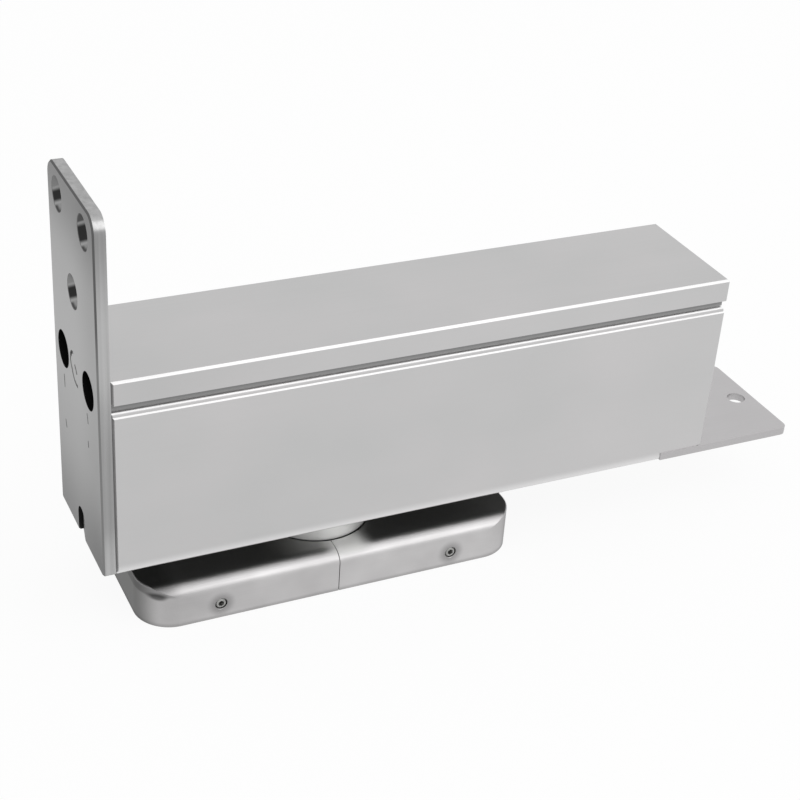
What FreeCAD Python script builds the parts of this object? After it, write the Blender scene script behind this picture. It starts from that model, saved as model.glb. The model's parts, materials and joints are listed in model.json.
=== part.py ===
import FreeCAD, Part
import math
import os
from FreeCAD import Vector

# Hydraulic door closer that stands on the floor under the pivot corner of a door. A steel plate and a
# two-part cover stay on the floor and hold the spindle. The long case is let into the door's bottom
# edge and swings about the spindle. Inside it a rack piston meshes with the spindle's teeth and works
# against two springs, and oil passes two valve screws behind the holes of the end plate.
# The origin is the spindle's axis at floor level. X runs along the case away from the end plate,
# Z is up. All sizes are millimetres.

# Case, measured from the spindle's axis and from the floor
spindle_to_plate = 65.0
floor_gap = 18.5
case_length = 175.6
case_width = 38.5
case_height = 56.0
case_wall = 3.0
case_floor = 4.5
case_end_round = 2.0
case_end_chamfer = 0.8
case_corner = 0.5
case_foot_round = 0.8
lid_height = 6.5
lid_top = 1.5
lid_edge = 0.58
lid_gap = 2.05
lid_lip_inset = 1.4
lid_lip_end = 0.5
lid_corner = 0.4
rim_step = 0.35
rim_band = 0.35
rim_round = 1.0
fit_gap = 0.25

# End plate that is screwed to the door's edge
plate_width = 39.0
plate_height = 98.8
plate_thickness = 3.2
plate_corner = 4.5
plate_foot_corner = 1.0
plate_edge = 0.45
plate_bore = 5.0
plate_countersink = 9.0
plate_pair_pitch = 22.2
plate_pair_height = 91.9
plate_single_height = 71.3
valve_access = 9.8
relief_width = 6.2
relief_height = 8.8
relief_depth = 1.2

# Tongue at the far end
flange_width = 39.0
flange_thickness = 2.3
flange_reach = 30.7
flange_overlap = 14.0
flange_corner = 2.2
flange_bore = 5.5
flange_bore_inset = 5.3
flange_screw_pitch = 22.0
flange_screw_length = 9.0

# Floor plate and its two-part cover
cover_length = 108.4
cover_width = 44.5
cover_height = 12.0
cover_wall = 1.2
cover_corner = 10.0
cover_crown_run = 4.85
cover_crown_rise = 3.05
cover_end_round = 0.6
cover_shift = -1.2
cover_seam = 0.2
cover_clearance = 0.3
cover_opening_gap = 0.6
grub_inset = 20.8
grub_height = 4.3
grub_diameter = 3.0
grub_length = 6.0
grub_key = 1.5
grub_edge = 0.15
grub_sink = 0.2
plate_slab = 8.0
hub_diameter = 26.0
hub_top = 10.2
floor_bore = 6.5
floor_countersink = 12.5
floor_screw_inset = 10.2
floor_pitch_y = 22.0

# Spindle, heights from the floor
socket_floor = 3.6
square_size = 12.0
square_corner_diameter = 15.6
neck_diameter = 16.0
shoulder_diameter = 22.0
shoulder_base = 14.5
shoulder_thickness = 2.5
upper_journal = 12.0
spindle_top = 67.5
lock_diameter = 5.0
lock_length = 10.0
lock_height = 5.0
lock_key = 2.5

# Gearing
gear_module = 1.25
gear_teeth = 12
pressure_angle = 25.0
backlash = 0.15
root_clearance = 0.3
pinion_width = 16.0
swing_limit = 90.0

# Bearings and the collar under the case
collar_diameter = 30.0
collar_base = 11.2
collar_thread = 27.0
collar_reach = 10.0
collar_pocket = 25.0
washer_thickness = 1.5
ball_diameter = 2.5
ball_count = 16
ball_play = 0.03
cage_thickness = 1.4
cage_play = 0.2
seal_thickness = 2.4
bush_wall = 2.0
running_play = 0.05
upper_bush_length = 8.0
top_plug_diameter = 20.0
top_plug_length = 4.5

# Cylinder block
block_clearance = 0.25
block_chamfer = 0.6
bore_diameter = 25.0
bore_height = 27.5
lug_thickness = 6.0
lug_width = 20.0
lug_depth = 15.0
end_plug_diameter = 27.0
left_plug_length = 6.0
right_plug_length = 7.0
plug_recess = 0.5
plug_key = 10.0
block_screw_inset = 17.0
block_screw_pitch = 18.0
block_screw_grip = 7.0
tapping_spare = 1.0

# Piston and springs
head_length = 12.0
slot_play = 0.85
slot_back = 9.6
pocket_diameter = 18.6
pocket_depth = 8.0
seal_width = 2.4
seal_depth = 1.6
check_bore = 1.4
check_ball = 2.4
check_seat_depth = 3.2
check_ring = 0.6
spring_outer = 18.2
spring_wire_radial = 3.4
left_wire_axial = 2.8
right_wire_axial = 3.6
left_coils = 5.0
right_coils = 10.0
seat_to_plug = 5.4
seat_thickness = 4.0
seat_spigot = 3.0
tension_screw_diameter = 12.0
tension_screw_key = 6.0
tension_key_depth = 5.0

# Valve screws
valve_pitch = 22.0
valve_height = 49.9
valve_bore = 7.0
valve_length = 24.0
valve_inset = 1.5
valve_slot_width = 1.2
valve_slot_depth = 1.5
valve_ring_wire = 1.4
passage_bore = 2.5
passage_ball = 3.2
sweep_port = 31.0
latch_port = 27.0
filler_from_end = 44.0
filler_diameter = 8.0
filler_length = 7.0
filler_key = 4.0
filler_key_depth = 3.0
filler_tip = 4.0

# Countersunk machine screws, by thread size
m3 = {"thread": 3.0, "head": 5.6, "key": 2.0}
m4 = {"thread": 4.0, "head": 7.6, "key": 2.5}
m5 = {"thread": 5.0, "head": 9.4, "key": 3.0}
screw_play = 0.25
thread_play = 0.05
ring_play = 0.02

# Places that follow from the sizes above
up = Vector(0, 0, 1)
down = Vector(0, 0, -1)
right = Vector(1, 0, 0)
left = Vector(-1, 0, 0)
case_left = plate_thickness - spindle_to_plate
case_right = case_left + case_length
case_top = floor_gap + case_height
lid_base = case_top - lid_height
rim_top = lid_base - lid_gap
block_base = floor_gap + case_floor
block_top = case_top - lid_top
block_width = case_width - 2 * case_wall - 2 * block_clearance
block_right = case_right - case_wall - lug_thickness - 2 * fit_gap
bore_axis = floor_gap + bore_height
valve_axis = floor_gap + valve_height
pitch_radius = gear_module * gear_teeth / 2
tip_radius = pitch_radius + gear_module
travel = pitch_radius * math.radians(swing_limit)
slot_half = tip_radius + travel + slot_play
head_end = slot_half + head_length
pocket_floor = head_end - pocket_depth
left_plug_face = case_left + plug_recess + left_plug_length
right_plug_face = block_right - plug_recess - right_plug_length
seat_face = right_plug_face - seat_to_plug - seat_thickness
grub_pitch = cover_length - 2 * grub_inset
floor_pitch_x = cover_length - 2 * floor_screw_inset
shoulder_top = shoulder_base + shoulder_thickness
race_low = shoulder_top + washer_thickness
race_high = race_low + ball_diameter + 2 * ball_play
pocket_top = race_high + washer_thickness
collar_top = block_base + collar_reach
ball_ring_radius = (neck_diameter + collar_pocket) / 4
upper_bush_base = spindle_top + 0.5 - upper_bush_length
gear_cavity_radius = tip_radius + 0.75
plate_base = floor_gap
parts_folder = "parts"


def block(x0, x1, y0, y1, z0, z1):
    """Box between two corners."""
    return Part.makeBox(x1 - x0, y1 - y0, z1 - z0, Vector(x0, y0, z0))


def rod(diameter, length, base, axis):
    """Plain cylinder from a base point along an axis."""
    return Part.makeCylinder(diameter / 2, length, base, axis)


def turned(profile, base, axis):
    """Solid of revolution from pairs of distance along the axis and radius."""
    side = Vector(1, 0, 0) if abs(axis.z) > 0.5 else Vector(0, 0, 1)
    points = [base + axis * along + side * radius for along, radius in profile]
    solid = Part.Face(Part.makePolygon(points + points[:1])).revolve(base, axis, 360)
    if solid.Volume < 0:
        solid.reverse()
    return solid


def hexagon(across_flats, depth, base, axis):
    """Hexagonal prism for a key socket."""
    radius = across_flats / math.sqrt(3)
    first = Vector(0, 1, 0) if abs(axis.y) < 0.5 else Vector(0, 0, 1)
    second = axis.cross(first)
    corners = []
    for step in range(7):
        angle = math.radians(60 * step)
        corners.append(base + first * (radius * math.cos(angle)) + second * (radius * math.sin(angle)))
    return Part.Face(Part.makePolygon(corners)).extrude(axis * depth)


def upright_edges(shape):
    """Edges of a solid that run straight up."""
    found = []
    for edge in shape.Edges:
        ends = edge.Vertexes
        if len(ends) == 2:
            run = ends[1].Point - ends[0].Point
            if abs(run.x) < 1e-6 and abs(run.y) < 1e-6:
                found.append(edge)
    return found


def edges_at(shape, axis, value):
    """Edges that lie wholly in one plane across an axis."""
    found = []
    for edge in shape.Edges:
        box = edge.BoundBox
        low = (box.XMin, box.YMin, box.ZMin)[axis]
        high = (box.XMax, box.YMax, box.ZMax)[axis]
        if abs(low - value) < 1e-4 and abs(high - value) < 1e-4:
            found.append(edge)
    return found


def rounded_slab(x0, x1, width, z0, z1, radius):
    """Slab with its four upright edges rounded."""
    slab = block(x0, x1, -width / 2, width / 2, z0, z1)
    return slab.makeFillet(radius, upright_edges(slab))


def quarter_ellipse(centre, first, second):
    """Edge from centre + first to centre + second, tangent to both directions."""
    if first.Length >= second.Length:
        curve = Part.Ellipse(centre + first, centre + second, centre)
    else:
        curve = Part.Ellipse(centre + second, centre + first, centre)
    return Part.ArcOfEllipse(curve, 0, math.pi / 2).toShape()


def line(start, end):
    """Straight edge."""
    return Part.makeLine(start, end)


def face_of(edges):
    """Face inside a closed run of edges."""
    return Part.Face(Part.Wire(Part.__sortEdges__(edges)))


def countersunk_hole(diameter, head, length, mouth, axis):
    """Clearance hole with a 90 degree countersink at its mouth."""
    sink = (head - diameter) / 2
    profile = [(-1, 0), (-1, head / 2), (0, head / 2), (sink, diameter / 2)]
    profile += [(length, diameter / 2), (length, 0)]
    return turned(profile, mouth, axis)


def countersunk_screw(size, length, mouth, axis):
    """Countersunk screw with a key socket, its head flush with the mouth."""
    thread, head = size["thread"], size["head"]
    sink = (head - thread) / 2
    profile = [(0.1, 0), (0.1, head / 2 - 0.1), (sink, thread / 2), (length - 0.6, thread / 2)]
    profile += [(length, thread / 2 - 0.6), (length, 0)]
    screw = turned(profile, mouth, axis)
    return screw.cut(hexagon(size["key"], sink * 0.9, mouth, axis))


def ring(outer, inner, thickness, base, axis):
    """Flat ring with a rectangular section."""
    profile = [(0, inner / 2), (0, outer / 2), (thickness, outer / 2), (thickness, inner / 2)]
    return turned(profile, base, axis)


# Cover and floor plate. The two cover halves are pressed from stainless sheet: the long top edges are
# softly crowned, the ends nearly sharp. They drop over the floor plate and set screws clamp them.
def cover_blank(length, width, height, corner, crown_run, crown_rise):
    plan = rounded_slab(-length / 2, length / 2, width, 0, height, corner)
    plan = plan.makeFillet(cover_end_round, edges_at(plan, 2, height))
    side = width / 2
    crown = []
    for hand in (1, -1):
        centre = Vector(-length / 2 - 1, hand * (side - crown_run), height - crown_rise)
        crown.append(quarter_ellipse(centre, Vector(0, hand * crown_run, 0), Vector(0, 0, crown_rise)))
    x = -length / 2 - 1
    crown.append(line(Vector(x, crown_run - side, height), Vector(x, side - crown_run, height)))
    crown.append(line(Vector(x, side, height - crown_rise), Vector(x, side, 0)))
    crown.append(line(Vector(x, side, 0), Vector(x, -side, 0)))
    crown.append(line(Vector(x, -side, 0), Vector(x, -side, height - crown_rise)))
    return plan.common(face_of(crown).extrude(Vector(length + 2, 0, 0)))


def grub_places():
    """Mouths and directions of the cover's set screws."""
    places = []
    for hand in (-1, 1):
        for end in (-1, 1):
            mouth = Vector(cover_shift + end * grub_pitch / 2, hand * cover_width / 2, grub_height)
            places.append((mouth, Vector(0, -hand, 0)))
    return places


def cover_halves():
    outer = cover_blank(cover_length, cover_width, cover_height, cover_corner, cover_crown_run,
                        cover_crown_rise)
    inner = cover_blank(cover_length - 2 * cover_wall, cover_width - 2 * cover_wall,
                        cover_height - cover_wall, cover_corner - cover_wall,
                        cover_crown_run - cover_wall, cover_crown_rise - cover_wall)
    shell = outer.cut(inner)
    shell.translate(Vector(cover_shift, 0, 0))
    opening = collar_diameter + 2 * cover_opening_gap
    shell = shell.cut(rod(opening, cover_height * 2, Vector(0, 0, 0), up))
    for mouth, inward in grub_places():
        hole = grub_diameter + screw_play
        shell = shell.cut(countersunk_hole(hole, hole + 2 * grub_edge, cover_wall + 1, mouth, inward))
    reach = cover_length
    halves = []
    for hand in (-1, 1):
        edge = cover_shift + hand * cover_seam / 2
        far = edge + hand * reach
        halves.append(shell.common(block(min(edge, far), max(edge, far), -reach, reach, -1, reach)))
    return halves


def floor_plate():
    trim = cover_wall + cover_clearance
    half = cover_length / 2 - trim
    slab = rounded_slab(cover_shift - half, cover_shift + half, cover_width - 2 * trim, 0, plate_slab,
                        cover_corner - trim)
    slab = slab.makeChamfer(0.5, edges_at(slab, 2, plate_slab))
    plate = slab.fuse(rod(hub_diameter, hub_top, Vector(0, 0, 0), up))
    plate = plate.removeSplitter()
    socket = square_size / 2 + running_play
    plate = plate.cut(block(-socket, socket, -socket, socket, socket_floor, hub_top + 1))
    lock_hole = Vector(0, cover_width / 2, lock_height)
    plate = plate.cut(rod(lock_diameter + 2 * thread_play, cover_width / 2, lock_hole, Vector(0, -1, 0)))
    for x in (-1, 1):
        for y in (-1, 1):
            mouth = Vector(cover_shift + x * floor_pitch_x / 2, y * floor_pitch_y / 2, plate_slab)
            plate = plate.cut(countersunk_hole(floor_bore, floor_countersink, plate_slab + 1, mouth, down))
    for mouth, inward in grub_places():
        plate = plate.cut(rod(grub_diameter + 2 * thread_play, grub_length + cover_wall + 2, mouth, inward))
    return plate


def set_screw(diameter, length, key, mouth, inward):
    """Headless screw with a key socket and a cone point."""
    profile = [(0, 0), (0, diameter / 2 - 0.3), (0.3, diameter / 2)]
    profile += [(length - 0.6, diameter / 2), (length, diameter * 0.2), (length, 0)]
    return turned(profile, mouth, inward).cut(hexagon(key, length * 0.4, mouth, inward))


def cover_grub_screws():
    screws = [set_screw(grub_diameter, grub_length, grub_key, mouth + inward * grub_sink, inward)
              for mouth, inward in grub_places()]
    return Part.makeCompound(screws)


def spindle_lock_screw():
    """Set screw that reaches through the floor plate and bears on the spindle's square foot."""
    mouth = Vector(0, square_size / 2 + running_play + lock_length, lock_height)
    return set_screw(lock_diameter, lock_length, lock_key, mouth, Vector(0, -1, 0))


# Spindle. Its square foot sits in the floor plate's hub, where a set screw locks it. The shoulder
# carries the door through a thrust bearing, and the pinion is cut into the shaft.
def involute_point(base_radius, radius, turn):
    """Point of an involute at a radius, the curve turned about the gear's centre."""
    roll = math.sqrt(max((radius / base_radius) ** 2 - 1, 0))
    angle = roll - math.atan(roll) + turn
    return Vector(radius * math.cos(angle), radius * math.sin(angle), 0)


def pinion_outline():
    alpha = math.radians(pressure_angle)
    base_radius = pitch_radius * math.cos(alpha)
    root_radius = pitch_radius - gear_module - root_clearance
    half_tooth = math.pi / (2 * gear_teeth) - backlash / (4 * pitch_radius)
    lead = math.tan(alpha) - alpha + half_tooth
    start = max(base_radius, root_radius)
    samples = 5
    edges = []
    previous = None
    first = None
    for tooth in range(gear_teeth):
        centre = 2 * math.pi * (tooth + 0.5) / gear_teeth
        flank = []
        for step in range(samples + 1):
            radius = start + (tip_radius - start) * step / samples
            flank.append(involute_point(base_radius, radius, -lead))
        rising = [turn_point(point, centre) for point in flank]
        falling = [turn_point(Vector(point.x, -point.y, 0), centre) for point in reversed(flank)]
        foot = rising[0] * (root_radius / start)
        if previous is not None:
            edges.append(root_arc(previous, foot, root_radius))
        else:
            first = foot
        edges.append(line(foot, rising[0]))
        edges.append(smooth(rising))
        edges.append(root_arc(rising[-1], falling[0], tip_radius))
        edges.append(smooth(falling))
        previous = falling[-1] * (root_radius / start)
        edges.append(line(falling[-1], previous))
    edges.append(root_arc(previous, first, root_radius))
    return edges


def turn_point(point, angle):
    """Point turned about the Z axis."""
    return Vector(point.x * math.cos(angle) - point.y * math.sin(angle),
                  point.x * math.sin(angle) + point.y * math.cos(angle), 0)


def root_arc(start, end, radius):
    """Arc about the gear's centre between two points."""
    middle = (start + end) * 0.5
    return Part.Arc(start, middle.normalize() * radius, end).toShape()


def smooth(points):
    """Curve through points."""
    curve = Part.BSplineCurve()
    curve.interpolate(points)
    return curve.toShape()


def spindle():
    gear_base = bore_axis - pinion_width / 2
    gear_top = bore_axis + pinion_width / 2
    neck = neck_diameter / 2
    slim = upper_journal / 2
    neck_top = bore_axis - bore_diameter / 2 - 0.5
    profile = [(hub_top, 0), (hub_top, neck - 0.3), (hub_top + 0.3, neck), (shoulder_base, neck)]
    profile += [(shoulder_base, shoulder_diameter / 2), (shoulder_top, shoulder_diameter / 2)]
    profile += [(shoulder_top, neck), (neck_top, neck), (neck_top + 1, slim)]
    profile += [(spindle_top - 0.6, slim), (spindle_top, slim - 0.6), (spindle_top, 0)]
    shaft = turned(profile, Vector(0, 0, 0), up)
    half = square_size / 2
    square = block(-half, half, -half, half, socket_floor, hub_top)
    square = square.common(rod(square_corner_diameter, hub_top, Vector(0, 0, 0), up))
    pinion = face_of(pinion_outline()).extrude(Vector(0, 0, gear_top - gear_base))
    pinion.translate(Vector(0, 0, gear_base))
    return shaft.fuse([square, pinion])


# Thrust bearing in the collar: two hardened washers and a ring of balls in a brass cage.
def thrust_washer_lower():
    inner = neck_diameter + 2 * running_play
    return ring(collar_pocket - 0.6, inner, washer_thickness, Vector(0, 0, shoulder_top), up)


def thrust_washer_upper():
    inner = neck_diameter + 0.6
    outer = collar_pocket - 2 * ring_play
    return ring(outer, inner, washer_thickness, Vector(0, 0, race_high), up)


def ball_centres():
    """Centres of the balls between the two washers."""
    height = (race_low + race_high) / 2
    centres = []
    for index in range(ball_count):
        angle = 2 * math.pi * index / ball_count
        centres.append(Vector(ball_ring_radius * math.cos(angle), ball_ring_radius * math.sin(angle), height))
    return centres


def thrust_balls():
    return Part.makeCompound([Part.makeSphere(ball_diameter / 2, centre) for centre in ball_centres()])


def ball_cage():
    middle = (race_low + race_high) / 2
    base = Vector(0, 0, middle - cage_thickness / 2)
    cage = ring(collar_pocket - 0.8, neck_diameter + 0.8, cage_thickness, base, up)
    for centre in ball_centres():
        hole_base = Vector(centre.x, centre.y, race_low)
        cage = cage.cut(rod(ball_diameter + cage_play, ball_diameter, hole_base, up))
    return cage


def bearing_collar():
    pocket = collar_pocket / 2
    bush = neck_diameter / 2 + bush_wall
    outer = collar_diameter / 2
    thread = collar_thread / 2 - thread_play
    profile = [(collar_base, pocket), (collar_base, outer - 0.8), (collar_base + 0.8, outer)]
    profile += [(block_base - fit_gap, outer), (block_base - fit_gap, thread), (collar_top, thread)]
    profile += [(collar_top, bush), (pocket_top, bush), (pocket_top, pocket)]
    return turned(profile, Vector(0, 0, 0), up)


def spindle_seal():
    outer = collar_pocket - 2 * ring_play
    inner = neck_diameter + 2 * running_play
    base = Vector(0, 0, collar_base + 0.3)
    return ring(outer, inner, seal_thickness, base, up)


def lower_bush():
    inner = neck_diameter + 2 * running_play
    outer = neck_diameter + 2 * bush_wall - 2 * ring_play
    top = bore_axis - bore_diameter / 2 - 0.6
    return ring(outer, inner, min(top, collar_top) - pocket_top, Vector(0, 0, pocket_top), up)


def upper_bush():
    inner = upper_journal + 2 * running_play
    outer = upper_journal + 2 * bush_wall
    return ring(outer, inner, upper_bush_length, Vector(0, 0, upper_bush_base), up)


def top_plug():
    base = upper_bush_base + upper_bush_length + 0.2
    diameter = top_plug_diameter - 2 * thread_play
    profile = [(0, 0), (0, diameter / 2), (top_plug_length - 0.5, diameter / 2)]
    profile += [(top_plug_length, diameter / 2 - 0.5), (top_plug_length, 0)]
    plug = turned(profile, Vector(0, 0, base), up)
    plug = plug.cut(ring(diameter + 2, diameter - 2 * seal_depth, seal_width / 1.5,
                         Vector(0, 0, base + 0.8), up))
    return plug.cut(hexagon(plug_key * 0.8, top_plug_length * 0.5,
                            Vector(0, 0, base + top_plug_length), down))


def top_plug_ring():
    base = upper_bush_base + upper_bush_length + 0.2
    diameter = top_plug_diameter - 2 * thread_play
    return ring(top_plug_diameter - ring_play, diameter - 2 * seal_depth + ring_play,
                seal_width / 1.5 - 2 * ring_play, Vector(0, 0, base + 0.8 + ring_play), up)


# Case. A stainless trough with a stepped and rounded rim, open at the top and at the end plate. The
# lid rests on the cylinder block and leaves a shadow groove above the rim.
def rim_side(wall_x, hand, top):
    """Outer outline of one wall from its foot to its rim, as points and the rim's arc."""
    face_top = top - rim_round - rim_band - rim_step
    inset = wall_x - hand * rim_step
    crown = wall_x - hand * (rim_step + rim_round)
    half_turn = rim_round * (1 - math.cos(math.radians(45)))
    arc_mid = (inset - hand * half_turn, top - half_turn)
    return face_top, inset, crown, arc_mid


def case_trough():
    side = case_width / 2
    face_top, inset, crown, arc_mid = rim_side(side, 1, rim_top)
    across = []
    for hand in (1, -1):
        foot = floor_gap + case_foot_round
        bend = case_foot_round * (1 - math.cos(math.radians(45)))
        across.append(Part.Arc(Vector(0, hand * (side - case_foot_round), floor_gap),
                               Vector(0, hand * (side - bend), floor_gap + bend),
                               Vector(0, hand * side, foot)).toShape())
        across.append(line(Vector(0, hand * side, foot), Vector(0, hand * side, face_top)))
        across.append(line(Vector(0, hand * side, face_top), Vector(0, hand * inset, face_top + rim_step)))
        across.append(line(Vector(0, hand * inset, face_top + rim_step),
                           Vector(0, hand * inset, rim_top - rim_round)))
        across.append(Part.Arc(Vector(0, hand * inset, rim_top - rim_round),
                               Vector(0, hand * arc_mid[0], arc_mid[1]),
                               Vector(0, hand * crown, rim_top)).toShape())
    across.append(line(Vector(0, crown, rim_top), Vector(0, -crown, rim_top)))
    foot_edge = side - case_foot_round
    across.append(line(Vector(0, foot_edge, floor_gap), Vector(0, -foot_edge, floor_gap)))
    sides = face_of(across).extrude(Vector(case_length, 0, 0))
    sides.translate(Vector(case_left, 0, 0))

    face_top, inset, crown, arc_mid = rim_side(case_right, 1, rim_top)
    shelf = floor_gap + flange_thickness
    seat = case_right - flange_overlap
    corner = case_end_round * (1 - math.cos(math.radians(45)))
    y = -side - 1
    along = [line(Vector(case_left, y, floor_gap), Vector(seat, y, floor_gap))]
    along.append(line(Vector(seat, y, floor_gap), Vector(seat, y, shelf)))
    along.append(line(Vector(seat, y, shelf), Vector(case_right - case_end_round, y, shelf)))
    along.append(Part.Arc(Vector(case_right - case_end_round, y, shelf),
                          Vector(case_right - corner, y, shelf + corner),
                          Vector(case_right, y, shelf + case_end_round)).toShape())
    along.append(line(Vector(case_right, y, shelf + case_end_round), Vector(case_right, y, face_top)))
    along.append(line(Vector(case_right, y, face_top), Vector(inset, y, face_top + rim_step)))
    along.append(line(Vector(inset, y, face_top + rim_step), Vector(inset, y, rim_top - rim_round)))
    along.append(Part.Arc(Vector(inset, y, rim_top - rim_round), Vector(arc_mid[0], y, arc_mid[1]),
                          Vector(crown, y, rim_top)).toShape())
    along.append(line(Vector(crown, y, rim_top), Vector(case_left, y, rim_top)))
    along.append(line(Vector(case_left, y, rim_top), Vector(case_left, y, floor_gap)))
    ends = face_of(along).extrude(Vector(0, case_width + 2, 0))

    trough = sides.common(ends).common(case_plan(case_corner))
    inner = side - case_wall
    trough = trough.cut(block(case_left - 1, case_right - case_wall, -inner, inner, block_base, case_top))
    collar_hole = collar_diameter + 2 * fit_gap
    trough = trough.cut(rod(collar_hole, case_floor + 2, Vector(0, 0, floor_gap - 1), up))
    for mouth in block_screw_places():
        trough = trough.cut(countersunk_hole(m5["thread"] + screw_play, m5["head"] + screw_play,
                                             case_floor + 1, mouth, up))
    for mouth in flange_screw_places():
        trough = trough.cut(rod(m4["thread"] + screw_play, case_floor + 4, mouth, up))
    for mouth in lid_screw_places():
        trough = trough.cut(countersunk_hole(m3["thread"] + screw_play, m3["head"] + screw_play,
                                             case_wall + 1, mouth, left))
    return trough


def case_plan(corner):
    """Upright prism over the case's plan: small chamfers at the end plate, rounded at the far end."""
    side = case_width / 2
    plan = block(case_left, case_right, -side, side, floor_gap - 1, case_top + 1)
    near = [edge for edge in upright_edges(plan) if edge.BoundBox.XMax < case_left + 1]
    plan = plan.makeChamfer(case_end_chamfer, near)
    far = [edge for edge in upright_edges(plan) if edge.BoundBox.XMin > case_right - 1]
    return plan.makeFillet(corner, far)


def case_lid():
    side = case_width / 2
    lid = block(case_left, case_right, -side, side, lid_base, case_top)
    soft = [edge for edge in edges_at(lid, 2, case_top) if edge.BoundBox.XMax > case_left + 1]
    lid = lid.makeChamfer(lid_edge, soft)
    lip = side - lid_lip_inset
    lid = lid.fuse(block(case_left, case_right - lid_lip_end, -lip, lip, rim_top, case_top - lid_top / 2))
    lid = lid.removeSplitter().common(case_plan(lid_corner))
    inner = side - case_wall
    lid = lid.cut(block(case_left - 1, case_right - case_wall, -inner, inner, rim_top - 1, block_top))
    lug_right = case_right - case_wall - fit_gap
    lug = block(lug_right - lug_thickness, lug_right, -lug_width / 2, lug_width / 2,
                block_top - lug_depth, block_top)
    bridge = block(lug_right - lug_thickness, case_right - case_wall / 2, -lug_width / 2, lug_width / 2,
                   lid_base + 0.5, case_top - lid_top / 2)
    lid = lid.fuse([lug, bridge]).removeSplitter()
    for mouth in lid_screw_places():
        lid = lid.cut(rod(m3["thread"] + 2 * thread_play, case_wall + lug_thickness, mouth, left))
    return lid


def lid_screw_places():
    """Mouths of the two screws through the case's far end."""
    height = block_top - lug_depth + m3["head"] / 2 + 0.5
    return [Vector(case_right, hand * lug_width / 4, height) for hand in (-1, 1)]


def lid_screws():
    screws = [countersunk_screw(m3, case_wall + lug_thickness * 0.7, mouth, left)
              for mouth in lid_screw_places()]
    return Part.makeCompound(screws)


def end_plate():
    half = plate_width / 2
    outer = -spindle_to_plate
    top = plate_base + plate_height
    plate = block(outer, case_left, -half, half, plate_base, top)
    for edge_z, radius in ((top, plate_corner), (plate_base, plate_foot_corner)):
        corners = []
        for edge in plate.Edges:
            box = edge.BoundBox
            if box.XMax - box.XMin > plate_thickness / 2 and abs(box.ZMin - edge_z) < 1e-4:
                if abs(box.ZMax - edge_z) < 1e-4:
                    corners.append(edge)
        plate = plate.makeFillet(radius, corners)
    plate = plate.makeChamfer(plate_edge, edges_at(plate, 0, outer))
    pair = plate_base + plate_pair_height
    single = plate_base + plate_single_height
    places = [(-plate_pair_pitch / 2, pair), (plate_pair_pitch / 2, pair), (0, single)]
    for y, z in places:
        plate = plate.cut(countersunk_hole(plate_bore, plate_countersink, plate_thickness + 1,
                                           Vector(outer, y, z), right))
    for y in (-valve_pitch / 2, valve_pitch / 2):
        plate = plate.cut(rod(valve_access, plate_thickness + 2, Vector(outer - 1, y, valve_axis), right))
    return plate.cut(foot_relief())


def foot_relief():
    """Round-topped relief at the foot of the end plate, deepest at its back side and run out at its front side."""
    outer = -spindle_to_plate
    half = relief_width / 2
    middle = plate_base + relief_height - half
    slot = rod(relief_width, relief_depth + 2, Vector(outer - 1, 0, middle), right)
    slot = slot.fuse(block(outer - 1, outer + relief_depth + 1, -half, half, plate_base - 1, middle))
    spare = relief_depth / relief_width
    corners = [Vector(outer - 2, half + 1, plate_base - 2), Vector(outer + relief_depth + spare, half + 1, plate_base - 2),
               Vector(outer - spare, -half - 1, plate_base - 2), Vector(outer - 2, -half - 1, plate_base - 2)]
    wedge = Part.Face(Part.makePolygon(corners + corners[:1])).extrude(Vector(0, 0, relief_height + 4))
    return slot.common(wedge)


def rear_flange():
    start = case_right - flange_overlap
    end = case_right + flange_reach
    half = flange_width / 2
    flange = block(start, end, -half, half, floor_gap, floor_gap + flange_thickness)
    corners = [edge for edge in upright_edges(flange) if edge.BoundBox.XMin > end - 1]
    flange = flange.makeFillet(flange_corner, corners)
    hole = Vector(end - flange_bore_inset, 0, floor_gap - 1)
    flange = flange.cut(rod(flange_bore, flange_thickness + 2, hole, up))
    for mouth in flange_screw_places():
        flange = flange.cut(countersunk_hole(m4["thread"] + screw_play, m4["head"] + screw_play,
                                             flange_thickness + 1, mouth, up))
    return flange


def flange_screw_places():
    """Mouths of the two screws that hold the tongue under the case."""
    x = block_right - m4["head"] / 2 - 0.5
    x = max(x, case_right - flange_overlap + m4["head"] / 2)
    return [Vector(x, hand * flange_screw_pitch / 2, floor_gap) for hand in (-1, 1)]


def flange_screws():
    return Part.makeCompound([countersunk_screw(m4, flange_screw_length, mouth, up)
                              for mouth in flange_screw_places()])


def block_screw_places():
    """Mouths of the four screws that hold the cylinder block in the case."""
    places = []
    far = case_right - flange_overlap - m5["head"]
    for x in (case_left + block_screw_inset, far):
        for hand in (-1, 1):
            places.append(Vector(x, hand * block_screw_pitch / 2, floor_gap))
    return places


def block_screws():
    length = case_floor + block_screw_grip
    return Part.makeCompound([countersunk_screw(m5, length, mouth, up) for mouth in block_screw_places()])


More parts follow.
